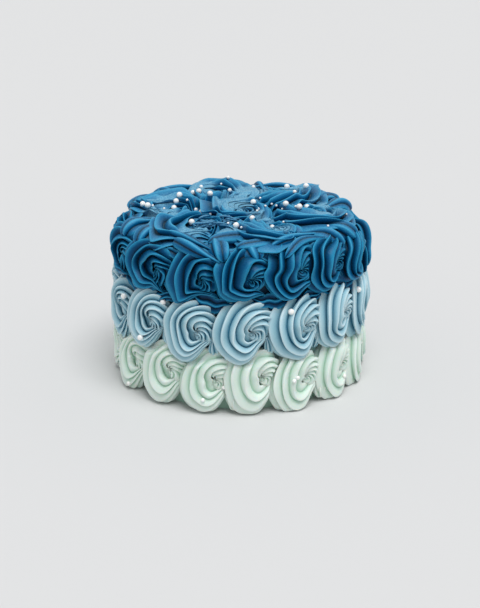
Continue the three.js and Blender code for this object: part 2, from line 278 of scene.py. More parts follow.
@dataclass(frozen=True)
class CrumbCoat:
    """The thin coat under the piping, spread in the three colours and matt where it has dried.
    Its colours are set darker than the piping's, as painted shade in the gaps between rosettes.
    """

    # The three colours are the rows' own, set darker as painted shade where the coat shows between rosettes.
    mint: str = "#a9cdbb"
    dusty: str = "#6f9fb6"
    dark: str = "#0c4568"
    low_change: float = 42.0
    high_change: float = 78.0
    blending: float = 4.0

    def material(self) -> Material:
        """Makes the node material, whose colours change with height.

        Returns:
            The material.
        """
        material, tree, shader, place = new_material("crumb_coat_buttercream")
        height = add_node(tree, "ShaderNodeSeparateXYZ", {"Vector": place}).outputs["Z"]
        # Swipes of the spatula, about 12 mm long, shift where one colour gives way to the next by 8 mm.
        swipe = add_node(tree, "ShaderNodeTexNoise", {"Vector": place, "Scale": 1000 / 12, "Detail": 3.0})
        shifted = add_node(tree, "ShaderNodeMath", {0: swipe.outputs["Fac"], 1: 8 * MM, 2: height},
                           operation="MULTIPLY_ADD")
        top = self.high_change * 2
        share = add_node(tree, "ShaderNodeMapRange", {"Value": shifted.outputs[0], "From Max": top * MM})
        tone = add_node(tree, "ShaderNodeValToRGB", {"Fac": share.outputs["Result"]})
        first, last = tone.color_ramp.elements
        first.position, first.color = (self.low_change - self.blending) / top, linear(self.mint)
        last.position, last.color = (self.high_change + self.blending) / top, linear(self.dark)
        for height_mm in (self.low_change + self.blending, self.high_change - self.blending):
            tone.color_ramp.elements.new(height_mm / top).color = linear(self.dusty)
        bump = add_node(tree, "ShaderNodeBump", {
            "Height": swipe.outputs["Fac"], "Distance": MM, "Strength": 0.6,
        })
        feed(shader, {
            "Base Color": tone.outputs["Color"], "Normal": bump.outputs["Normal"], "Roughness": 0.6,
            "IOR": BUTTER_IOR,
        })
        return material


@dataclass(frozen=True)
class PearlGlaze:
    """Sugar pearls: hard ivory sugar under a thin pearl lustre, so a soft gloss with a bright spot."""

    colour: str = "#ffffff"
    cloud: str = "#f4f5f0"

    def material(self) -> Material:
        """Makes the node material.

        Returns:
            The material.
        """
        material, tree, shader, place = new_material("lustred_sugar_pearl")
        # The lustre dust lies unevenly, in clouds about 1.5 mm across.
        cloud = add_node(tree, "ShaderNodeTexNoise", {"Vector": place, "Scale": 1000 / 1.5, "Detail": 2.0})
        tone = add_node(tree, "ShaderNodeValToRGB", {"Fac": cloud.outputs["Fac"]})
        dull, bright = tone.color_ramp.elements
        dull.position, dull.color = 0.35, linear(self.cloud)
        bright.position, bright.color = 0.65, linear(self.colour)
        gloss = add_node(tree, "ShaderNodeMapRange", {
            "Value": cloud.outputs["Fac"], "To Min": 0.18, "To Max": 0.34,
        })
        feed(shader, {
            "Base Color": tone.outputs["Color"], "Roughness": gloss.outputs["Result"], "IOR": 1.5,
            "Subsurface Weight": 0.3, "Subsurface Radius": (1.0, 0.9, 0.8), "Subsurface Scale": 0.8 * MM,
            "Coat Weight": 0.6, "Coat Roughness": 0.08,
        })
        return material


# Each groove colour holds painted shade and each crest colour a painted highlight, about the icing's own
# body colour.
FINISHES = {
    Icing.MINT: Buttercream(
        "mint_buttercream", body="#d9eae0", crest="#e9f3ed", groove="#a9d0b9", grain_depth=0.05,
        pit_depth=0.0, scatter=0.4, painted_sheen="#eef4f0", speckle=0.08,
    ),
    Icing.DUSTY: Buttercream(
        "dusty_blue_buttercream", body="#94c0ce", crest="#d3eaf1", groove="#156f90", grain_depth=0.06,
        pit_depth=0.02, scatter=0.2, painted_sheen="#bcd8e2", speckle=0.16,
    ),
    Icing.DARK: Buttercream(
        "dark_blue_buttercream", body="#004b77", crest="#2f98c2", groove="#01182c", grain_depth=0.14,
        pit_depth=0.1, scatter=0.06, painted_sheen="#3e9cc0", speckle=0.3, roughness=0.38, painted_sheen_strength=0.12, shine=0.14,
    ),
    # The top's finish is the dark icing painted lighter, with more painted sheen, as light falling from
    # above.
    Icing.CROWN: Buttercream(
        "dark_blue_buttercream_painted_lit_top", body="#006092", crest="#389fc9", groove="#011b31", grain_depth=0.16,
        pit_depth=0.15, scatter=0.06, painted_sheen="#7fb8d0", speckle=0.35, roughness=0.38, painted_sheen_strength=0.24,
        shine=0.15,
    ),
}


@dataclass(frozen=True)
class StarTip:
    """The closed star nozzle: each of its fins leaves a thin ridge, with a rounded groove between two.

    The profile runs from one ridge to the next. Each of its points has its share of the way round, its
    depth, as a share of the groove's, and its tone, from 0 in the groove to 1 on the ridge: the tone paints
    shade into the groove and a highlight onto the ridge.
    """

    fins: int
    depth: float
    profile: tuple[Triple, ...]


# The tone column paints shade low in each groove and a highlight on each ridge.
SOFT_RIDGE = (
    (0.000, 0.00, 1.00), (0.045, 0.05, 0.85), (0.150, 0.20, 0.66), (0.290, 0.46, 0.46), (0.410, 0.80, 0.20),
    (0.480, 1.00, 0.00), (0.545, 0.94, 0.04), (0.650, 0.62, 0.34), (0.790, 0.30, 0.54), (0.920, 0.08, 0.78),
)
DEEP_RIDGE = (
    (0.000, 0.00, 1.00), (0.040, 0.07, 0.84), (0.140, 0.30, 0.60), (0.270, 0.58, 0.38), (0.390, 0.84, 0.15),
    (0.470, 1.00, 0.00), (0.540, 0.97, 0.00), (0.640, 0.74, 0.20), (0.780, 0.42, 0.46), (0.910, 0.14, 0.74),
)
PLAIN = ((0.0, 0.0, 0.5), (0.5, 0.0, 0.5))


@dataclass
class Rope:
    """A straight length of piped rope, cut once and then laid for every rosette, or several alike.

    For each of its points it holds the angle, clockwise from the first fin in radians, how far below the
    ridges it lies from 0 to 1, how far out it reaches, its tone, its share along and its copy.
    """

    tip: StarTip
    steps: int
    copies: int = 1
    mesh: Mesh = field(init=False)
    angle: Array = field(init=False)
    hollow: Array = field(init=False)
    reach: Array = field(init=False)
    tone: Array = field(init=False)
    along: Array = field(init=False)
    copy: Array = field(init=False)

    def __post_init__(self) -> None:
        """Extrudes the star section into a rope, a step at a time, and closes its ends."""
        form = bmesh.new()
        column = form.verts.layers.int.new("column")
        station = form.verts.layers.int.new("station")
        copy = form.verts.layers.int.new("copy")
        count = self.tip.fins * len(self.tip.profile)
        ring = bmesh.ops.create_circle(form, segments=count, radius=1.0)["verts"]
        for index, vertex in enumerate(sorted(ring, key=lambda v: math.atan2(v.co.y, v.co.x), reverse=True)):
            vertex[column] = index
        edges = list(form.edges)
        for step in range(1, self.steps + 1):
            made = bmesh.ops.extrude_edge_only(form, edges=edges)["geom"]
            corners = [part for part in made if isinstance(part, bmesh.types.BMVert)]
            fresh = set(corners)
            edges = [part for part in made if isinstance(part, bmesh.types.BMEdge)]
            edges = [edge for edge in edges if fresh.issuperset(edge.verts)]
            bmesh.ops.translate(form, verts=corners, vec=(0.0, 0.0, 1.0))
            for corner in corners:
                corner[station] = step
        bmesh.ops.holes_fill(form, edges=form.edges, sides=0)
        bmesh.ops.recalc_face_normals(form, faces=form.faces)
        first = [*form.verts, *form.edges, *form.faces]
        for index in range(1, self.copies):
            for part in bmesh.ops.duplicate(form, geom=first)["geom"]:
                if isinstance(part, bmesh.types.BMVert):
                    part[copy] = index
        self.mesh = bpy.data.meshes.new("rope")
        form.to_mesh(self.mesh)
        columns = np.array([vertex[column] for vertex in form.verts])
        corners = len(self.tip.profile)
        turned, self.hollow, self.tone = np.array(self.tip.profile)[columns % corners].T
        self.angle = -(columns // corners + turned) * 2 * math.pi / self.tip.fins
        self.reach = 1 - self.tip.depth * self.hollow
        self.along = np.array([vertex[station] for vertex in form.verts]) / self.steps
        self.copy = np.array([vertex[copy] for vertex in form.verts])
        form.free()


@dataclass(frozen=True)
class SideWall:
    """The cake's side, on which rosettes are wrapped, with its rounded shoulder.

    Above the shoulder the icing bends inwards. What would sink below the foot is squashed up to it.
    """

    radius: float
    reach: float
    shoulder: float = 99.0
    rounding: float = 11.0
    icing: float = 10.0
    most_bend: float = 75.0
    foot: float = 0.6
    foot_softness: float = 0.8

    def wrap(self, points: Flat) -> Array:
        """Wraps flat points round the side.

        Args:
            points: How far round each is, to the right of the front, at the radius called reach, how
                high, and how far out of the side.

        Returns:
            The points, as rows of x, y and z.
        """
        u, v, n = points
        turned = u / self.reach
        up = self.foot + self.foot_softness * np.logaddexp(0.0, (v - self.foot) / self.foot_softness)
        arc = self.rounding + self.icing
        bend = np.clip((up - self.shoulder) / arc, 0.0, math.radians(self.most_bend))
        beyond = np.maximum(0.0, up - self.shoulder - bend * arc)
        flat = np.minimum(up, self.shoulder)
        centre = self.radius - self.rounding
        out = centre + (self.rounding + n) * np.cos(bend) - beyond * np.sin(bend)
        rise = flat + (self.rounding + n) * np.sin(bend) + beyond * np.cos(bend)
        return np.stack([out * np.sin(turned), -out * np.cos(turned), rise], axis=1)


@dataclass
class Rosette:
    """One piped rosette: a star rope laid in a spiral, anticlockwise from its swirl to its tail.

    Its turn is in radians and its other angles in degrees, and those called before are counted back from
    the tail's end. Round the rope, side is 0 on the rim, a quarter turn outwards from the cake, and a half
    turn on the swirl's side.
    """

    radius: float
    rope: float
    stretch: float = 1.0
    reach: float = 0.0
    first_turn: float = 160.0
    tight: float = 35.0
    late: float = 100.0
    twist: float = 1.0
    slow_twist: float = 0.12
    slow_before: float = 120.0
    spread: float = 0.12
    lean: float = 0.3
    droop: float = -90.0
    start: float = 0.32
    fullness: float = 0.52
    flat: float = 0.78
    lift: float = 6.2
    shift: Pair = (-4.8, -1.4)
    tail: float = -18.0
    tail_at: Triple = (10.4, -4.3, 8.5)
    fan: float = 82.0
    gathering: float = 1.5
    heart: float = 4.0
    heart_before: float = 170.0
    cut: float = 0.43
    cut_before: float = 98.0
    uneven: float = 0.08
    unsteady: float = 0.6
    wave_length: float = 40.0
    smears: tuple[Triple, ...] = ()
    smeared_to: float = 14.0
    pressed_to: float = 5.5
    name: str = ""
    u: float = 0.0
    v: float = 0.0
    turn: float = 0.0
    seed: int = 0
    pressed_by: list["Rosette"] = field(default_factory=list)

    def rim_middle(self) -> Pair:
        """The middle of the rim, which is left of the swirl."""
        return self.u + self.shift[0], self.v + self.shift[1] * self.stretch

    def lay(self, rope: Rope) -> Flat:
        """Lays the rope flat along the spiral.

        Args:
            rope: The straight rope.

        Returns:
            u, v and n of each point.
        """
        draw = random.Random(self.seed)
        phases = [draw.uniform(0, 2 * math.pi) for _ in range(6)]
        first = math.radians(self.first_turn)
        whole = 2 * math.pi + first
        swept = rope.along * whole
        theta = math.radians(self.tail) - whole + swept + self.turn
        growth = smooth((swept - math.radians(self.tight)) / (first + math.radians(self.late - self.tight)))
        left = np.degrees(whole - swept)
        # The last turn fills the band from the heart to the rim, which the tail cuts short.
        outer = self.to_rim(theta) * (1 + 0.03 * np.sin(1.7 * theta + phases[2]))
        outer = outer * (1 - self.cut * smooth((self.cut_before - left) / 50))
        inner = self.heart * smooth((self.heart_before - left) / 80)
        size = self.rope * self.start + ((outer - inner) * self.fullness - self.rope * self.start) * growth
        ring = (outer + inner) / 2 * growth
        side = self.sides(rope, theta, whole, phases)
        # The rope swells and thins by 4% about twice a turn, and by 2% five times a turn.
        wobble = 1 + 0.04 * np.sin(2.3 * theta + phases[0]) + 0.02 * np.sin(5.1 * theta + phases[1])
        reach = wobble * rope.reach
        across = size * reach * np.cos(side)
        height = self.flat * (size + (self.rope - size) * 0.6 * growth) * reach
        lift = self.lift * (1.1 - 0.3 * growth + 0.2 * smooth((swept - first) / math.pi))
        u = self.u + (ring + across) * np.cos(theta)
        v = self.v + (ring + across) * np.sin(theta) * self.stretch
        n = lift + height * np.sin(side) + self.reach
        return self.unsettle(self.gather((u, v, n), 1 - (whole - swept) / math.radians(self.fan)), side)

    def sides(self, rope: Rope, theta: Array, whole: float, phases: list[float]) -> Array:
        """Where each point is round the rope, with the crests leaning over towards the droop.

        Args:
            rope: The straight rope.
            theta: The angle round the swirl.
            whole: The whole sweep of the spiral.
            phases: The rosette's random phases.

        Returns:
            The angles, in radians.
        """
        fin = rope.angle
        uneven = np.sin(2 * fin + phases[4]) + 0.6 * np.sin(3 * fin + phases[5])
        side = self.twisted(rope, whole) - (fin + self.uneven * uneven + phases[3])
        side = side + self.spread * np.sin(2 * side)
        droop = 0.4 * np.cos(side) + np.sin(side) * np.cos(theta - math.radians(self.droop))
        return side - self.lean * (1 - rope.hollow) ** 1.5 * droop

    def unsettle(self, points: Flat, side: Array) -> Flat:
        """Adds what the hand and the spatula did: waves, smears, and the weight of later rosettes.

        Args:
            points: u, v and n of each point.
            side: Where each point is round the rope.

        Returns:
            The points, moved.
        """
        u, v, n = points
        away = smooth(np.hypot(u - self.u, v - self.v) / (0.6 * self.radius))
        wave_u = u + self.unsteady * away * waves(u, v, self.wave_length, self.seed + 31)
        wave_v = v + self.unsteady * away * waves(u, v, self.wave_length, self.seed + 57)
        n = n + 0.6 * self.unsteady * waves(u, v, self.wave_length, self.seed + 83)
        level = self.smeared_to + 0.7 * waves(u, v, 18.0, 29)
        # The spatula takes down what stands above its level, and fills the grooves of the upper side.
        pulled = np.where(n > level, 0.85, 0.8 * smooth(np.sin(side) / 0.5))
        n = n + self.smeared(u, v) * pulled * (level - n)
        return wave_u, wave_v, self.press(wave_u, wave_v, n)

    def smeared(self, u: Array, v: Array) -> Array:
        """How much each point lies in a smeared patch, from 0 to 1. The patches' edges are ragged."""
        inside = np.zeros_like(u)
        for at_u, at_v, radius in self.smears:
            away = np.hypot(u - at_u, v - at_v) + 2.5 * waves(u, v, 20.0, 21)
            inside = np.maximum(inside, 1 - smooth((away - radius + 5.0) / 8.0))
        return inside

    def gather(self, points: Flat, share: Array) -> Flat:
        """Draws the end of the rope together into the tail, as the nozzle does when it is pulled away.

        Args:
            points: u, v and n of each point.
            share: How far along the tail each point is, below 0 before it.

        Returns:
            The points, gathered.
        """
        pull = 0.97 * np.clip(share, 0.0, 1.0) ** self.gathering
        cos, sin = math.cos(self.turn), math.sin(self.turn)
        right, up, out = self.tail_at
        tip = (self.u + right * cos - up * sin, self.v + (right * sin + up * cos) * self.stretch, out)
        u, v, n = (place + (end - place) * pull for place, end in zip(points, tip))
        return u, v, n

    def to_rim(self, theta: Array) -> Array:
        """How far the rim is from the swirl at each angle, with the rim a circle off to one side."""
        left, up = self.shift
        along = left * np.cos(theta) + up * np.sin(theta)
        return along + np.sqrt(self.radius ** 2 - left ** 2 - up ** 2 + along ** 2)

    def twisted(self, rope: Rope, whole: float) -> Array:
        """How far the ridges have turned over the rope, in radians: the twist slows towards the tail."""
        grid = np.linspace(0.0, 1.0, 400)
        left = np.degrees(whole * (1 - grid))
        rate = self.slow_twist + (self.twist - self.slow_twist) * smooth((left - self.slow_before) / 120)
        turned = np.concatenate([[0.0], np.cumsum((rate[1:] + rate[:-1]) / 2 * np.diff(grid) * whole)])
        return np.interp(rope.along, grid, turned)

    def press(self, u: Array, v: Array, n: Array) -> Array:
        """Presses down what lies under the rosettes that were piped later."""
        for later in self.pressed_by:
            middle_u, middle_v = later.rim_middle()
            inside = later.radius - np.hypot(u - middle_u, (v - middle_v) / later.stretch)
            n = n - 0.9 * smooth((inside + 0.5) / 4.5) * np.maximum(0.0, n - self.pressed_to)
        return n


def swirl_of(node: str) -> Vector:
    """Finds a rosette's swirl in the frame: the outer corner where the most of its faces meet.

    Args:
        node: The rosette's CAD node.

    Returns:
        The place of the swirl, in millimetres.
    """
    form = bmesh.new()
    form.from_mesh(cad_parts[node].data)
    bmesh.ops.remove_doubles(form, verts=form.verts, dist=0.01 * MM)
    middle = (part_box(node)[0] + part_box(node)[1]) / 2
    on_top = node.startswith(Icing.CROWN.value)
    outward = Vector((0, 0, 1)) if on_top else Vector((middle.x, middle.y, 0)).normalized()
    faced = []
    for vertex in form.verts:
        away = vertex.co - middle
        beside = away - outward * away.dot(outward)
        if vertex.normal.dot(outward) > 0 and beside.length < HUB_REACH * MM:
            faced.append(vertex)
    hub = max(faced, key=lambda vertex: len(vertex.link_faces)).co / MM
    form.free()
    return hub


def placed(name: str, data: Camera | Light | Mesh) -> Object:
    """Puts a mesh, a camera or a light into the scene, as an object."""
    item = bpy.data.objects.new(name, data)
    bpy.context.scene.collection.objects.link(item)
    return item


def make_piece(name: str, mesh: Mesh, finish: Material) -> Object:
    """Puts a finished mesh into the scene as a piece that rides on the cake.

    Args:
        name: The piece's name.
        mesh: Its mesh, in metres, in place.
        finish: Its material.

    Returns:
        The piece.
    """
    mesh.materials.clear()
    mesh.materials.append(finish)
    mesh.shade_smooth()
    piece = placed(name, mesh)
    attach(piece, "root")
    LOG.info("%s: %d faces", name, len(mesh.polygons))
    return piece


@dataclass
class Batch:
    """A batch of buttercream: which icing it is, and its material."""

    icing: Icing
    finish: Material

    def piece(self, name: str, rope: Rope, places: Array, smear: Array | float = 0.0,
              node: str = "") -> Object:
        """Makes a piece from a copy of the straight rope, with each of its points in a new place.

        Args:
            name: The piece's name.
            rope: The straight rope.
            places: Where each of its points goes, in millimetres.
            smear: How smeared the icing is, from 0 to 1, at each point or all over.
            node: The CAD node that it stands for, if there is one.

        Returns:
            The piece.
        """
        mesh = rope.mesh.copy()
        mesh.vertices.foreach_set("co", (places * MM).astype(np.float32).ravel())
        smear = np.broadcast_to(smear, len(places))
        # The ridge attribute carries the painted groove shade and crest highlight; a smear evens it out to
        # mid-tone.
        for attribute, values in (("ridge", rope.tone * (1 - smear) + 0.6 * smear), ("smear", smear)):
            made = mesh.attributes.new(attribute, "FLOAT", "POINT")
            made.data.foreach_set("value", values.astype(np.float32))
        mesh.update()
        piece = make_piece(name, mesh, self.finish)
        if node:
            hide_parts(node)
        return piece


@dataclass
class RosetteRow:
    """A row of rosettes round the cake's side, all like one but for where they are and how they turn."""

    batch: Batch
    piped: int
    count: int
    like: Rosette
    tip: StarTip
    steps: int = 120
    back_turn: float = 0.0
    front_turns: tuple[float, ...] = ()

    def rosettes(self, wall: SideWall) -> list[Rosette]:
        """Finds the row's rosettes in the frame.

        Args:
            wall: The side that they are wrapped on.

        Returns:
            The rosettes, in order round the cake.
        """
        found = []
        for index in range(self.count):
            node = f"{self.batch.icing.value}-rosette-{index + 1:02d}"
            swirl = swirl_of(node)
            turn = self.front_turns[index] if index < len(self.front_turns) else self.back_turn
            azimuth = math.atan2(swirl.x, -swirl.y)
            found.append(replace(self.like, name=node, u=azimuth * wall.reach, v=swirl.z,
                                 turn=math.radians(turn), seed=100 * self.piped + index))
        return found


@dataclass
class SideIcing:
    """All the rows of the side, each rosette pressed on by those that were piped after it.

    The icing is dragged down from a row's tails, from and to a point right of and above each swirl.
    """

    wall: SideWall
    rows: list[RosetteRow]
    drag_from: Pair = (10.5, -5.0)
    drag_to: Pair = (14.0, -21.0)

    def build(self) -> list[Object]:
        """Pipes the rows.

        Returns:
            The pieces, one for each rosette.
        """
        piped = [(row, row.rosettes(self.wall)) for row in self.rows]
        pieces = []
        for row, rosettes in piped:
            rope = Rope(row.tip, row.steps)
            later = [other for after, found in piped if after.piped > row.piped for other in found]
            for index, rosette in enumerate(rosettes):
                near = [*later, rosettes[(index + 1) % len(rosettes)]]
                rosette.pressed_by = [self.beside(rosette, other) for other in near]
                places = self.wall.wrap(rosette.lay(rope))
                pieces.append(row.batch.piece(rosette.name + "-icing", rope, places, node=rosette.name))
        return pieces

    def tails(self, row: RosetteRow) -> list[Line]:
        """The lines along which a row's icing is dragged down from its tails.

        Args:
            row: The row.

        Returns:
            The lines.
        """
        right, up = self.drag_from
        lines = []
        for one in row.rosettes(self.wall):
            cos, sin = math.cos(one.turn), math.sin(one.turn)
            from_u, from_v = right * cos - up * sin, right * sin + up * cos
            lines.append((one.u + from_u, one.v + from_v, one.u + self.drag_to[0], one.v + self.drag_to[1]))
        return lines

    def beside(self, rosette: Rosette, other: Rosette) -> Rosette:
        """A copy of another rosette, moved by whole turns round the cake to lie nearest this one."""
        girth = 2 * math.pi * self.wall.reach
        return replace(other, u=other.u - girth * round((other.u - rosette.u) / girth))


@dataclass
class Drags:
    """Icing dragged along lines: folds off the tails and over the shoulder, or fatter rolls.

    Each line runs from a thin start to a blunt end, and bows to one side. Base is how far out its middle
    lies at the start and at the end.
    """

    name: str
    batch: Batch
    wrap: Callable[[Flat], Array]
    lines: list[Line]
    width: float
    height: float
    base: Pair
    seed: int
    fins: int = 6
    bow: float = 1.5
    depth: float = 0.42
    blunt: float = 3.0

    def build(self) -> Object:
        """Makes all of them as one piece.

        Returns:
            The piece.
        """
        rope = Rope(StarTip(self.fins, self.depth, SOFT_RIDGE), steps=18, copies=len(self.lines))
        draw = random.Random(self.seed)
        values = np.array([[*line, *(draw.uniform(-1, 1) for _ in range(6))] for line in self.lines])
        from_u, from_v, to_u, to_v, sway, length, lean, wide, high, phase = values[rope.copy].T
        share = rope.along
        to_u, to_v = to_u + 1.5 * sway, to_v + 2.0 * length
        long = np.hypot(to_u - from_u, to_v - from_v)
        across_u, across_v = (from_v - to_v) / long, (to_u - from_u) / long
        swell = (0.35 + 0.65 * smooth(share * 1.6)) * np.sqrt(np.clip(1.02 - share ** self.blunt, 0.0, 1.0))
        side = 0.5 * share - rope.angle + phase * math.pi
        across = self.width * (1 + 0.2 * wide) * swell * rope.reach * np.cos(side)
        across = across + self.bow * lean * np.sin(math.pi * share)
        u = from_u + (to_u - from_u) * share + across * across_u
        v = from_v + (to_v - from_v) * share + across * across_v
        low = self.base[0] + (self.base[1] - self.base[0]) * share
        n = low + self.height * (1 + 0.2 * high) * swell * rope.reach * np.sin(side)
        return self.batch.piece(self.name, rope, self.wrap((u, v, n)))


@dataclass
class Hem:
    """The wavy lower edge of a row, where its icing was dragged over the next row's tops."""

    batch: Batch
    wall: SideWall
    height: float
    half_width: float
    out: float
    swing: float
    steps: int = 300
    overlap: float = 1.01

    def build(self) -> Object:
        """Lays one long folded ribbon round the cake.

        Returns:
            The piece.
        """
        rope = Rope(StarTip(7, 0.4, DEEP_RIDGE), self.steps)
        round_way = (rope.along - 0.5) * 2 * math.pi * self.overlap
        flat = np.zeros_like(round_way)
        length = round_way * self.wall.reach
        middle = self.height + self.swing * waves(length, flat, 52.0, 11)
        middle = middle + 0.5 * self.swing * waves(length, flat, 17.0, 12)
        width = self.half_width * (1 + 0.25 * waves(length, flat, 31.0, 13))
        side = 1.4 * waves(length, flat, 60.0, 14) - rope.angle
        taper = np.sqrt(np.clip((0.5 - np.abs(rope.along - 0.5)) * 60, 0.02, 1.0))
        v = middle + width * rope.reach * taper * np.sin(side)
        n = self.out * (0.5 + 0.12 * waves(length, v, 23.0, 15)) * (1 + rope.reach * np.cos(side) * taper)
        return self.batch.piece(f"{self.batch.icing.value}-hem", rope, self.wall.wrap((length, v, n)))


SMEARS = (
    (-60, -11, 18), (-56, 20, 11), (-31, -52, 10), (-9, -55, 9), (-6, 9, 15), (0, 28, 13), (7, 46, 14),
    (14, -8, 10), (13, -27, 9), (60, 14, 11), (61, -16, 9), (27, -50, 7), (-30, 60, 12), (40, 55, 10),
)
ROLLS = [
    (24, -55, -20, -75), (30, -61, -3, -83), (56, -48, 21, -79), (61, -55, 30, -87), (-14, -92, -45, -66),
    (-19, -80, -50, -55), (8, 68, 46, 70), (50, 68, 76, 38), (-28, 78, -66, 54), (-60, 60, -84, 22),
]


@dataclass
class Crown:
    """The rosettes of the top: a ring, and one in its middle that is piped last.

    Icing is dragged over the shoulder on both sides of each gap between two rosettes of the ring. Gap
    sides and slant are bearings, in radians.
    """

    batch: Batch
    rope: Rope
    floor: float
    like: Rosette
    ring_count: int = 6
    first_seed: int = 400
    middle_radius: float = 33.0
    ring_shift: Pair = (-3.0, 2.5)
    middle_shift: Pair = (-5.0, -1.5)
    edge: float = 73.5
    edge_softness: float = 2.0
    rounding: float = 4.0
    icing: float = 13.0
    most_bend: float = 80.0
    gap_sides: Pair = (-0.14, 0.12)
    gap_slant: float = 0.1
    gap_from: float = 62.0
    gap_to: float = 93.0

    def ring(self) -> list[str]:
        """The nodes of the ring, in order."""
        return [f"crown-rosette-{number}" for number in range(1, self.ring_count + 1)]

    def gaps(self) -> list[Line]:
        """The lines along which icing is dragged over the shoulder."""
        lines = []
        swirls = [swirl_of(node) for node in self.ring()]
        for one, other in zip(swirls, [*swirls[1:], swirls[0]]):
            middle = (one + other) / 2
            for side in self.gap_sides:
                bearing = math.atan2(middle.y, middle.x) + side
                before, after = bearing - self.gap_slant, bearing + self.gap_slant
                start = Vector((math.cos(before), math.sin(before))) * self.gap_from
                end = Vector((math.cos(after), math.sin(after))) * self.gap_to
                lines.append((*start, *end))
        return lines

    def rosettes(self) -> list[Rosette]:
        """Finds the top's rosettes in the frame.

        Returns:
            The ring's rosettes and then the middle one, each pressed on by those piped after it.
        """
        ring = self.ring()
        found = []
        for index, node in enumerate([*ring, "crown-rosette-middle"]):
            swirl = swirl_of(node)
            in_ring = node in ring
            turn = math.atan2(swirl.x, -swirl.y) if in_ring else 0.0
            across, outwards = self.ring_shift if in_ring else self.middle_shift
            cos, sin = math.cos(turn), math.sin(turn)
            found.append(replace(self.like, name=node, u=swirl.x, v=swirl.y, turn=turn,
                                 radius=self.like.radius if in_ring else self.middle_radius,
                                 seed=self.first_seed + index, droop=math.degrees(turn) - 90,
                                 shift=(across * cos + outwards * sin, across * sin - outwards * cos)))
        for index, rosette in enumerate(found[:-1]):
            rosette.pressed_by = [found[(index + 1) % len(ring)], found[-1]]
        return found

    def build(self) -> list[Object]:
        """Pipes the top.

        Returns:
            The pieces, one for each rosette.
        """
        pieces = []
        for rosette in self.rosettes():
            x, y, n = rosette.lay(self.rope)
            pieces.append(self.batch.piece(rosette.name + "-icing", self.rope, self.fold((x, y, n)),
                                           rosette.smeared(x, y), rosette.name))
        return pieces

    def fold(self, points: Flat) -> Array:
        """Sets flat points on the top, and bends what reaches past its edge down over the shoulder.

        Args:
            points: How far right, how far back and how far above the top each is.

        Returns:
            The points, as rows of x, y and z.
        """
        x, y, n = points
        out = np.hypot(x, y)
        past = self.edge_softness * np.logaddexp(0.0, (out - self.edge) / self.edge_softness)
        bend = np.minimum(past / (self.rounding + self.icing), math.radians(self.most_bend))
        reach = np.minimum(out, out - past) + (self.rounding + n) * np.sin(bend)
        height = self.floor - self.rounding + (self.rounding + n) * np.cos(bend)
        return np.stack([x / out * reach, y / out * reach, height], axis=1)


@dataclass
class Threads:
    """Torn threads of icing, left in a tangle where the nozzle was lifted and set down again."""

    batch: Batch
    middle: Pair = (-19.0, -38.0)
    spread: Pair = (17.0, 6.5)
    height: Pair = (120.0, 124.5)
    length: Pair = (6.0, 17.0)
    thickness: float = 0.75
    count: int = 34
    seed: int = 23
    curling: float = 2.6
    turning: float = 0.9
    arch: float = 1.8
    smear: float = 0.4

    def build(self) -> Object:
        """Makes the threads as one piece.

        Returns:
            The piece.
        """
        rope = Rope(StarTip(3, 0.0, PLAIN), steps=12, copies=self.count)
        draw = random.Random(self.seed)
        values = np.array([[draw.uniform(-1, 1) for _ in range(8)] for _ in range(self.count)])
        right, away, up, heading, curl, long, thick, rise = values[rope.copy].T
        share = rope.along - 0.5
        length = self.length[0] + (self.length[1] - self.length[0]) * (0.5 + 0.5 * long)
        bend = self.curling * curl
        halfway = self.turning * heading
        way = halfway + bend * share
        x = self.middle[0] + self.spread[0] * right
        x = x + length * (np.sin(way) - np.sin(halfway)) / (bend + 0.01)
        y = self.middle[1] + self.spread[1] * away
        y = y - length * (np.cos(way) - np.cos(halfway)) / (bend + 0.01)
        low, high = self.height
        z = low + (high - low) * (0.5 + 0.5 * up) + self.arch * rise * np.sin(math.pi * (share + 0.5))
        around = rope.angle
        taper = 0.25 + 0.75 * np.sqrt(np.clip(1 - (2 * share) ** 2, 0.0, 1.0))
        thin = self.thickness * (1 + 0.35 * thick) * taper
        x = x - thin * np.cos(around) * np.sin(way)
        y = y + thin * np.cos(around) * np.cos(way)
        z = z + thin * np.sin(around)
        return self.batch.piece("torn-threads", rope, np.stack([x, y, z], axis=1), self.smear)


@dataclass(frozen=True)
class PearlSize:
    """One size of sugar pearl, and where it lies: x and y on top, or degrees and height on the side."""

    name: str
    diameter: float
    on_top: tuple[Pair, ...]
    on_side: tuple[Pair, ...]


PEARLS = (
    PearlSize("pearls-large", 4.3, (
        (-69, -2), (-65, -6), (-46, 6), (-47, -11), (-44, 21), (-35, 27), (-30, 31), (-22, 24), (-27, -26),
        (-33, -48), (-2, -55), (8, -39), (10, 2), (21, -59), (33, -4), (42, -11), (47, -11), (35, 42),
        (50, 44),
    ), ((-61, 71), (-34, 78), (-48, 46), (22, 74), (65, 73), (118, 66), (163, 75), (-152, 48), (-117, 72))),
    PearlSize("pearls-medium", 2.9, (
        (-29, 42), (-8, 34), (13, -17), (10, 42), (40, 29), (-9, 70), (-30.8, -19.3), (-50.2, 63.1),
    ), (
        (25, 25.5), (23.6, 23.6), (-7, 22), (-16, 11), (53, 14), (-59.3, 4.9), (-80, 75), (141, 30),
        (-171, 18),
    )),
    PearlSize("pearls-small", 1.8, (
        (-61.8, -7.6), (-53.4, -15.7), (-20.7, -27.7), (-8, -51.2), (1.2, -59.9), (14.7, 12.6), (29.8, -47),
        (59, -57.4), (22.6, -2.9), (25.6, -6.6), (39.5, -9.8), (73.6, -29.9), (12, -21), (18, -9), (30, -16),
        (-14, 52), (24, 58), (-38, 8),
    ), ((-100, 60), (105, 55), (-135, 70), (176, 44))),
)


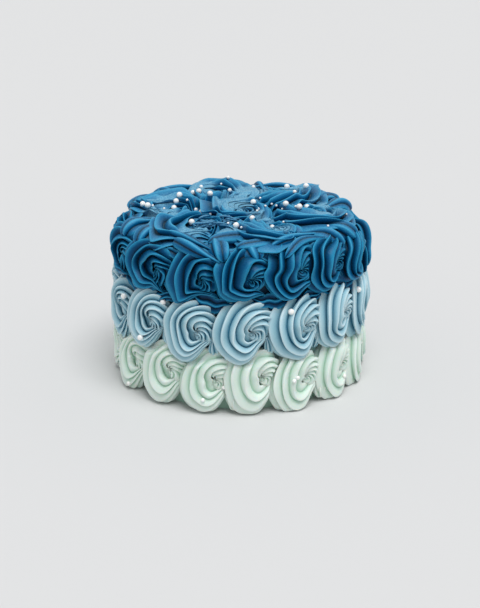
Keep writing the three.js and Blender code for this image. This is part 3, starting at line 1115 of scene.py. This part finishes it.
@dataclass
class Pearls:
    """The sugar pearls, each pressed a little into the icing that it landed on.

    Grazing is how squarely the eye has to see a spot for its pearl to be dropped along that sight.
    """

    icing: list[Object]
    eye: Vector
    finish: Material
    top: float = 125.0
    side: float = 92.0
    drop: float = 100.0
    grazing: float = 0.1
    sink: float = 0.22
    unevenness: float = 0.035
    seed: int = 7

    def ray(self, spot: Vector, out: Vector) -> tuple[Vector, Vector]:
        """The ray on which a pearl is dropped: from the eye where it sees the spot, or else straight in.

        Args:
            spot: Where the pearl was seen, on the cake's plain outline, in millimetres.
            out: The outline's outward direction there.

        Returns:
            The ray's start, in metres, and its direction.
        """
        sight = (spot - self.eye).normalized()
        if sight.dot(out) < -self.grazing:
            return self.eye * MM, sight
        return (spot + out * self.drop) * MM, -out

    def build(self) -> None:
        """Makes one piece for each size."""
        joined = bmesh.new()
        for piece in self.icing:
            joined.from_mesh(piece.data)
        surface = BVHTree.FromBMesh(joined)
        joined.free()
        draw = random.Random(self.seed)
        for size in PEARLS:
            form = bmesh.new()
            rays = [self.ray(Vector((x, y, self.top)), Vector((0, 0, 1))) for x, y in size.on_top]
            for azimuth, height in size.on_side:
                out = Vector((math.sin(math.radians(azimuth)), -math.cos(math.radians(azimuth)), 0))
                rays.append(self.ray(out * self.side + Vector((0, 0, height)), out))
            radius = size.diameter / 2 * MM
            for start, way in rays:
                hit, normal, _, _ = surface.ray_cast(start, way)
                if hit is None:
                    continue
                lean = (normal - way).normalized()
                place = Matrix.Translation(hit + lean * radius * (1 - 2 * self.sink))
                scales = [1 + draw.uniform(-1, 1) * self.unevenness for _ in range(3)]
                turned = Matrix.Rotation(draw.uniform(0, math.pi), 4, (0.6, 0.0, 0.8))
                bmesh.ops.create_icosphere(form, subdivisions=3, radius=radius,
                                           matrix=place @ turned @ Matrix.Diagonal(scales).to_4x4())
            mesh = bpy.data.meshes.new(size.name)
            form.to_mesh(mesh)
            form.free()
            make_piece(size.name, mesh, self.finish)


@dataclass
class Studio:
    """The plain studio: a pale floor, soft light and the camera. Its sizes in pixels are the photo's."""

    focal_px: float = 1200.0
    image_height_px: float = 608.0
    sensor: float = 36.0
    distance: float = 886.0
    pitch: float = 20.67
    look_height: float = 47.6
    fill: float = 0.56
    sky: str = "#f6f8fa"
    window: float = 2.2
    softness: float = 36.0
    window_from: Triple = (0.15, -0.3, 1.0)
    paper: str = "#d3d3d3"
    floor_m: float = 6.0

    @property
    def eye(self) -> Vector:
        """Where the camera stands, in millimetres."""
        pitch = math.radians(self.pitch)
        height = self.look_height + self.distance * math.sin(pitch)
        return Vector((0.0, -self.distance * math.cos(pitch), height))

    def build(self) -> None:
        """Sets the floor, the lights and the camera."""
        scene = bpy.context.scene
        sheet = bpy.data.meshes.new("floor")
        form = bmesh.new()
        bmesh.ops.create_grid(form, x_segments=1, y_segments=1, size=self.floor_m)
        form.to_mesh(sheet)
        form.free()
        floor = placed("floor", sheet)
        pale = bpy.data.materials.new("matt_white_paper")
        pale.use_nodes = True
        feed(pale.node_tree.nodes["Principled BSDF"], {"Base Color": linear(self.paper), "Roughness": 0.9})
        sheet.materials.append(pale)
        view = bpy.data.cameras.new("camera")
        view.sensor_fit = "VERTICAL"
        view.sensor_height = self.sensor
        view.lens = self.focal_px / self.image_height_px * self.sensor
        camera = placed("camera", view)
        camera.location = self.eye * MM
        camera.rotation_euler = (math.pi / 2 - math.radians(self.pitch), 0.0, 0.0)
        scene.camera = camera
        scene.world = bpy.data.worlds.new("studio")
        scene.world.use_nodes = True
        feed(scene.world.node_tree.nodes["Background"], {"Color": linear(self.sky), "Strength": self.fill})
        sun = bpy.data.lights.new("window", "SUN")
        sun.energy = self.window
        sun.angle = math.radians(self.softness)
        window = placed("window", sun)
        window.rotation_euler = (-Vector(self.window_from)).to_track_quat("-Z", "Y").to_euler()
        scene.view_settings.view_transform = "Standard"


def main() -> None:
    """Builds the cake and the studio."""
    logging.basicConfig(level=logging.INFO, format="%(name)s: %(message)s")
    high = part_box("tier")[1]
    wall = SideWall(radius=high.y / MM, reach=high.y / MM + WALL_REACH)
    batches = {icing: Batch(icing, finish.material()) for icing, finish in FINISHES.items()}
    top_batch = batches[Icing.CROWN]
    mint = RosetteRow(
        batches[Icing.MINT], piped=0, count=16, tip=StarTip(10, 0.29, SOFT_RIDGE),
        front_turns=(0, 0, 4, 0, 6, 0, -8, 0),
        like=Rosette(24.2, 11.2, stretch=1.05, reach=-1.2, lean=0.28, shift=(-4.8, -4.8)),
    )
    dark = RosetteRow(
        batches[Icing.DARK], piped=1, count=16, tip=StarTip(11, 0.45, DEEP_RIDGE), steps=130, back_turn=-26,
        front_turns=(-30, -30, -36, -24, -24, -22, -30, -30),
        like=Rosette(23.3, 11.6, reach=-1.0, spread=0.13, lean=0.26, shift=(-6.0, 0.5),
                     tail_at=(17.0, -7.0, 8.5), unsteady=2.6, wave_length=34.0),
    )
    dusty = RosetteRow(
        batches[Icing.DUSTY], piped=2, count=15, tip=StarTip(11, 0.41, SOFT_RIDGE),
        front_turns=(10, 0, 0, 0, 12, 0, 0), like=Rosette(23.5, 11.2, reach=0.2, lean=0.29, unsteady=0.8),
    )
    side = SideIcing(wall, [mint, dark, dusty])
    icing = side.build()
    for row, width, height, base in ((dusty, 5.0, 4.0, (7.2, 3.2)), (mint, 5.5, 4.5, (6.5, 7.5))):
        drags = Drags(f"{row.batch.icing.value}-drags", row.batch, wall.wrap, side.tails(row), width, height,
                      base, seed=500 + row.piped)
        icing.append(drags.build())
    icing.append(Hem(batches[Icing.DARK], wall, height=80.5, half_width=6.0, out=8.2, swing=2.0).build())
    icing.append(Hem(top_batch, wall, height=117.0, half_width=11.0, out=8.5, swing=2.4).build())
    crown = Crown(top_batch, Rope(StarTip(12, 0.5, DEEP_RIDGE), steps=150), high.z / MM, Rosette(
        37.0, 12.0, spread=0.2, lean=0.14, lift=6.5, tail_at=(17.0, -7.0, 9.0), unsteady=3.0,
        wave_length=34.0, smears=SMEARS,
    ))
    icing += crown.build()
    folds = Drags("crown-drags", top_batch, crown.fold, crown.gaps(), width=8.0, height=6.5, base=(8.5, 9.5),
                  seed=510, fins=5, depth=0.3, blunt=8.0)
    rolls = Drags("shoulder-rolls", top_batch, crown.fold, ROLLS, width=4.6, height=5.5, base=(10.0, 11.5),
                  seed=521, fins=4, bow=4.5, depth=0.26, blunt=9.0)
    icing += [folds.build(), rolls.build(), Threads(top_batch).build()]
    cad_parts["tier"].material_slots[0].material = CrumbCoat().material()
    studio = Studio()
    Pearls(icing, studio.eye, PearlGlaze().material()).build()
    studio.build()


if __name__ == "__main__":
    main()
